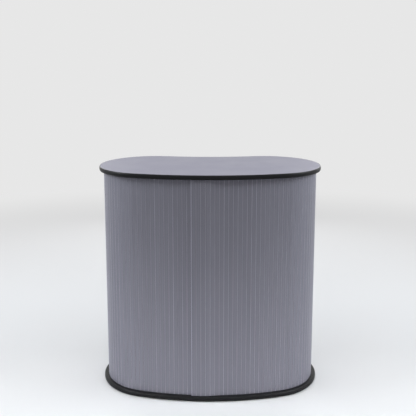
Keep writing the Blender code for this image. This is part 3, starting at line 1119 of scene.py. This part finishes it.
@dataclass
class Posts:
    """The four posts with their feet, cups and screws."""

    sides: int = 48
    screw_sides: int = 24
    flange_thickness: float = 0.004
    flange_ease: float = 0.0008
    spigot_radius: float = 0.0122
    tube_wall: float = 0.0015
    tube_ease: float = 0.0003
    ease_steps: int = 2
    cup_wall: float = 0.0025
    cup_bore: float = 0.0144
    screw_circle: float = 0.0225
    screw_count: int = 3
    screw_head: float = 0.0038
    screw_shank: float = 0.0019
    head_depth: float = 0.002
    recess_depth: float = 0.0011
    recess_reach: float = 0.0019
    recess_width: float = 0.0007
    recess_turn: float = 1.0
    screw_slip: float = 0.00015
    flange_radius: float = field(init=False)

    def __post_init__(self) -> None:
        """Take the flanges' radius from a CAD foot."""
        low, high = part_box("post_foot_1")
        self.flange_radius = (high.x - low.x) / 2

    def build(self) -> None:
        """Build every post, foot, cup and screw."""
        self.feet()
        self.cups()
        for part in ("lower_post", "upper_post"):
            self.tubes(part)
        for number in range(1, POST_COUNT + 1):
            dress_node(f"threaded_plug_{number}", FINISHES.zinc)
            dress_node(f"stud_plug_{number}", FINISHES.zinc)

    def places(self, node: str) -> list[Matrix]:
        """Where the four nodes of a kind stand."""
        return [Matrix.Translation(spot) for spot in middles(node, POST_COUNT)]

    def screw_angles(self) -> list[float]:
        """Directions of a flange's screws."""
        return [math.tau * (number + 0.5) / self.screw_count for number in range(self.screw_count)]

    def screw_spot(self, angle: float, height: float) -> Vector:
        """Middle of a screw on its circle."""
        return Vector((self.screw_circle * math.cos(angle), self.screw_circle * math.sin(angle), height))

    def countersink(self, centre: Vector, slip: float) -> bpy.types.Object:
        """Model a cone that opens upwards to a screw head's size.

        Args:
            centre: Middle of its wide end without the slip.
            slip: How much larger it is than the screw head.

        Returns:
            The cone.
        """
        base = centre - Vector((0, 0, self.head_depth))
        bench = Bench.disc(base, self.screw_shank + slip, self.head_depth + slip, self.screw_sides)
        bench.pick(faces_up, "FACE")
        share = (self.screw_head + slip) / (self.screw_shank + slip)
        wide_end = centre + Vector((0, 0, slip))
        bpy.ops.transform.resize(value=(share, share, 1), center_override=wide_end)
        return bench.done("countersink")

    def shank_hole(self, centre: Vector) -> bpy.types.Object:
        """Model the cutter for a screw's shank, which goes right through the flange.

        Args:
            centre: Middle of the screw on the flange's upper face.

        Returns:
            The cutter.
        """
        height = 2 * self.flange_thickness
        start = centre - Vector((0, 0, height / 2 + self.flange_thickness / 2))
        return Bench.disc(start, self.screw_shank, height, self.screw_sides).done("shank_hole")

    def screw(self) -> bpy.types.Object:
        """Model a countersunk screw head with a cross recess, its top at the origin.

        Returns:
            The head, from which all others are copied.
        """
        head = self.countersink(Vector(), 0)
        cutters = []
        for x, y in ((self.recess_reach, self.recess_width), (self.recess_width, self.recess_reach)):
            high = Vector((x, y, self.recess_depth))
            cutters.append(Bench.block(-high, high).done("recess"))
        drill(head, cutters)
        return head

    def flange(self) -> Bench:
        """Begin a flange with a disc on the origin.

        Returns:
            The bench, with the disc's upper face picked.
        """
        bench = Bench.disc(Vector(), self.flange_radius, self.flange_thickness, self.sides)
        bench.pick(faces_up, "FACE")
        return bench

    def finish_flange(self, bench: Bench, name: str) -> bpy.types.Object:
        """Ease the outer rim of a flange's upper face and drill its screw holes.

        Args:
            bench: The flange, with what stands on it.
            name: The piece's name.

        Returns:
            The finished piece.
        """
        reach = self.inside(self.flange_radius)

        def on_rim(place: Vector, way: Vector) -> bool:
            """Whether an edge lies on that rim."""
            outside = math.hypot(place.x, place.y) > reach
            return outside and abs(place.z - self.flange_thickness) < WELD and abs(way.z) < WELD

        bench.pick(on_rim, "EDGE")
        bench.bevel(self.flange_ease, self.ease_steps)
        item = bench.done(name)
        cutters = []
        for angle in self.screw_angles():
            spot = self.screw_spot(angle, self.flange_thickness)
            cutters.append(self.countersink(spot, self.screw_slip))
            cutters.append(self.shank_hole(spot))
        drill(item, cutters)
        return item

    def inside(self, radius: float) -> float:
        """Distance just inside the middles of a round's sides."""
        return radius * math.cos(math.pi / self.sides) - WELD

    def feet(self) -> None:
        """Flanged feet with a spigot each, and their screws."""
        low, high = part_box("post_foot_1")
        bench = self.flange()
        bench.inset(self.flange_radius - self.spigot_radius)
        bench.extrude((0, 0, high.z - low.z - self.flange_thickness))
        foot = self.finish_flange(bench, "foot")
        feet = copies(foot, self.places("post_foot"), "post_foot_casting")
        present_each(feet, FINISHES.zinc, Body.STAND, "post_foot")
        self.screws("foot_screw", "post_foot", Matrix.Identity(4), Body.STAND)

    def cups(self) -> None:
        """Flanged cups under the top rim, and their screws."""
        low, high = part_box("post_cup_1")
        bench = self.flange()
        bench.inset(self.flange_radius - self.cup_bore - self.cup_wall)
        depth = high.z - low.z - self.flange_thickness
        bench.extrude((0, 0, depth))
        bench.inset(self.cup_wall)
        bench.extrude((0, 0, -depth))
        cup = self.finish_flange(bench, "cup")
        hung = Matrix.Translation((0, 0, high.z - low.z)) @ Matrix.Rotation(math.pi, 4, "X")
        places = [place @ hung for place in self.places("post_cup")]
        present_each(copies(cup, places, "post_cup_casting"), FINISHES.zinc, Body.TOP, "post_cup")
        self.screws("cup_screw", "post_cup", hung, Body.TOP)

    def screws(self, name: str, node: str, stance: Matrix, body: Body) -> None:
        """Set a screw in each hole of the flanges of one kind.

        Args:
            name: Start of the screws' names.
            node: Start of the CAD nodes' names.
            stance: How a flange stands at its node's foot.
            body: The body that they move with.
        """
        places = []
        for place in self.places(node):
            for number, angle in enumerate(self.screw_angles()):
                spot = Matrix.Translation(self.screw_spot(angle, self.flange_thickness))
                turn = Matrix.Rotation(angle + number * self.recess_turn, 4, "Z")
                places.append(place @ stance @ spot @ turn)
        for item in copies(self.screw(), places, name):
            present(item, FINISHES.zinc, body)

    def tubes(self, part: str) -> None:
        """Post tubes of one length, bored right through.

        Args:
            part: Start of their CAD nodes' names.
        """
        low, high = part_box(f"{part}_1")
        radius = (high.x - low.x) / 2
        reach = self.inside(radius)
        bench = Bench.disc(Vector(), radius, high.z - low.z, self.sides)
        bench.pick(lambda place, way: abs(way.z) > LEVEL, "FACE")
        bench.inset(self.tube_wall)
        bpy.ops.mesh.bridge_edge_loops()
        bench.pick(lambda place, way: math.hypot(place.x, place.y) > reach and abs(way.z) < WELD, "EDGE")
        bench.bevel(self.tube_ease, self.ease_steps)
        tubes = copies(bench.done("tube"), self.places(part), f"{part}_tube")
        present_each(tubes, FINISHES.aluminium, Body.STAND, part)


@dataclass
class Shelf:
    """The shelf board, drilled for the posts' studs, and the band round its edge."""

    plan: Plan
    band_thickness: float = 0.001
    seat: float = 0.0003
    ease: float = 0.0005
    stud_hole: float = 0.0053
    overrun: float = 0.001
    sides: int = 32

    def build(self) -> None:
        """Build the board and its band."""
        low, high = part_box("shelf_edge_band")
        outer = self.plan.width / 2 - high.x
        inner = outer + self.band_thickness
        band = eased_side(outer, low.z, high.z, self.ease) + [(inner, high.z), (inner, low.z)]
        present(swept_ring(self.plan, band, "shelf_banding"), FINISHES.trim, Body.STAND, "shelf_edge_band")
        edge = inner + self.seat
        item = swept_slab(self.plan, ((edge, low.z), (edge, high.z)), "shelf_panel")
        height = high.z - low.z + 2 * self.overrun
        cutters = []
        for spot in middles("upper_post", POST_COUNT):
            spot.z = low.z - self.overrun
            cutters.append(Bench.disc(spot, self.stud_hole, height, self.sides).done("stud_hole"))
        drill(item, cutters)
        present(item, FINISHES.laminate, Body.STAND, "shelf_board")


@dataclass
class Pads:
    """The floor pads under the base."""

    count: int = 6
    sides: int = 40
    rounding: float = 0.0012
    rounding_steps: int = 4

    def build(self) -> None:
        """Build the pads, each from a disc whose lower rim is rounded."""
        low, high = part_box("floor_pad_1")
        radius = (high.x - low.x) / 2
        bench = Bench.disc(Vector(), radius, high.z - low.z, self.sides)
        bench.pick(lambda place, way: place.z < WELD and abs(way.z) < WELD, "EDGE")
        bench.bevel(self.rounding, self.rounding_steps)
        places = [Matrix.Translation(spot) for spot in middles("floor_pad", self.count)]
        pads = copies(bench.done("pad"), places, "floor_pad_disc")
        present_each(pads, FINISHES.rubber, Body.STAND, "floor_pad")


@dataclass(frozen=True)
class Softbox:
    """A rectangular lamp that looks at a point."""

    name: str
    place: Triple
    target: Triple
    width: float
    height: float
    power: float
    spread: float = 180
    tint: Triple = (1.0, 1.0, 1.0)

    def build(self) -> None:
        """Hang the lamp."""
        lamp = bpy.data.lights.new(self.name, "AREA")
        lamp.shape = "RECTANGLE"
        lamp.size = self.width
        lamp.size_y = self.height
        lamp.energy = self.power
        lamp.color = self.tint
        lamp.spread = math.radians(self.spread)
        item = bpy.data.objects.new(self.name, lamp)
        item.location = self.place
        way = Vector(self.target) - Vector(self.place)
        item.rotation_euler = way.to_track_quat("-Z", "Y").to_euler()
        bpy.context.scene.collection.objects.link(item)

    def pair(self) -> None:
        """Hang the lamp on the left, and its mirror image on the right."""
        x, y, z = self.place
        self.build()
        replace(self, name=self.name.replace("left", "right"), place=(-x, y, z)).build()


@dataclass
class Studio:
    """The pale floor, the soft lamps, the world and the camera at the photograph's angle."""

    floor_reach: float = 60.0
    floor_colour: Triple = (0.68, 0.68, 0.69)
    floor_bounce: Triple = (0.28, 0.28, 0.29)
    floor_roughness: float = 0.7
    floor_specular: float = 0.2
    fade_start: float = 1.2
    fade_end: float = 4.5
    sky_light: float = 0.15
    backdrop: float = 0.80
    front_key: Softbox = Softbox("front_key", (0, -1.7, 3.3), (0, -0.2, 0.9), width=1.8, height=1.0, power=24)
    left_side: Softbox = Softbox(
        "left_side", (-2.75, -0.5, 2.4), (0, 0, 0.5), width=1.4, height=1.4, power=74, tint=(0.92, 0.97, 1.0)
    )
    left_foot: Softbox = Softbox(
        "left_foot", (-2.3, -2.2, 0.8), (0, -0.1, -0.1), width=1.4, height=0.6, power=2.2, spread=34
    )
    left_back: Softbox = Softbox("left_back", (-1.9, 2.5, 2.0), (0, 0, 0.5), width=1.8, height=1.8, power=30)
    back_fill: Softbox = Softbox("back_fill", (0, 3.0, 0.72), (0, 0, 0.5), width=1.8, height=0.5, power=8)
    camera_place: Triple = (-0.00756, -3.10718, 1.5429)
    camera_turn: float = -0.0006
    camera_dip: float = 0.17568
    focal_pixels: float = 706.4
    centre_row: float = 168.0
    sensor: float = 36.0

    def build(self) -> None:
        """Set up everything round the counter."""
        self.floor()
        self.world()
        self.front_key.build()
        self.left_side.pair()
        self.left_foot.pair()
        self.left_back.pair()
        self.back_fill.build()
        self.camera()

    def floor(self) -> None:
        """Plain pale floor, which fades into the backdrop away from the counter."""
        bpy.ops.object.select_all(action="DESELECT")
        bpy.ops.mesh.primitive_plane_add(size=self.floor_reach)
        floor = bpy.context.object
        floor.name = "studio_floor"
        material = bpy.data.materials.new("studio_floor")
        wiring = Wiring(material)
        seen = wiring.seen()
        colours = {"Factor": seen, "A": (*self.floor_bounce, 1.0), "B": (*self.floor_colour, 1.0)}
        paint = {
            "Base Color": wiring.mix(colours),
            "Roughness": self.floor_roughness,
            "Specular IOR Level": self.floor_specular,
        }
        shader = wiring.tree.nodes["Principled BSDF"]
        wiring.fill(shader, paint)
        glow = wiring.add("ShaderNodeEmission", {"Strength": self.backdrop})
        place = wiring.add("ShaderNodeTexCoord").outputs["Object"]
        reach = wiring.add("ShaderNodeVectorMath", {0: place})
        reach.operation = "LENGTH"
        distance = {"Value": reach.outputs["Value"], "From Min": self.fade_start, "From Max": self.fade_end}
        fade = wiring.add("ShaderNodeMapRange", distance)
        fade.interpolation_type = "SMOOTHSTEP"
        share = wiring.maths("MULTIPLY", {0: fade.outputs["Result"], 1: seen})
        shaders = {"Fac": share, 1: shader.outputs["BSDF"], 2: glow.outputs["Emission"]}
        mix = wiring.add("ShaderNodeMixShader", shaders)
        wiring.fill(wiring.tree.nodes["Material Output"], {"Surface": mix.outputs["Shader"]})
        floor.data.materials.append(material)

    def world(self) -> None:
        """Even light from all round, with a pale backdrop for the camera and for gloss."""
        world = bpy.data.worlds.new("studio")
        bpy.context.scene.world = world
        wiring = Wiring(world)
        levels = {"Value": wiring.seen(), "To Min": self.sky_light, "To Max": self.backdrop}
        strength = wiring.add("ShaderNodeMapRange", levels).outputs["Result"]
        inputs = {"Color": (1.0, 1.0, 1.0, 1.0), "Strength": strength}
        wiring.fill(wiring.tree.nodes["Background"], inputs)

    def camera(self) -> None:
        """Camera fitted to the photograph's outlines."""
        camera = bpy.data.cameras.new("camera")
        camera.sensor_width = self.sensor
        camera.lens = self.focal_pixels * self.sensor / IMAGE_SIZE
        camera.shift_y = (self.centre_row - IMAGE_SIZE / 2) / IMAGE_SIZE
        item = bpy.data.objects.new("camera", camera)
        item.location = self.camera_place
        item.rotation_euler = (math.pi / 2 - self.camera_dip, 0, -self.camera_turn)
        bpy.context.scene.collection.objects.link(item)
        bpy.context.scene.camera = item


def main() -> None:
    """Build the counter and its studio."""
    logging.basicConfig(level=logging.INFO, format="%(name)s: %(message)s")
    low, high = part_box("top_edge_trim")
    plan = Plan(width=high.x - low.x, depth=high.y - low.y)
    EdgedBoard(plan, "base", Body.STAND, FINISHES.dark).build()
    Pads().build()
    Wall(plan).build()
    Shelf(plan).build()
    EdgedBoard(plan, "top", Body.TOP, FINISHES.laminate).build()
    Posts().build()
    Studio().build()
    bpy.context.scene.view_settings.view_transform = "Standard"


if __name__ == "__main__":
    main()
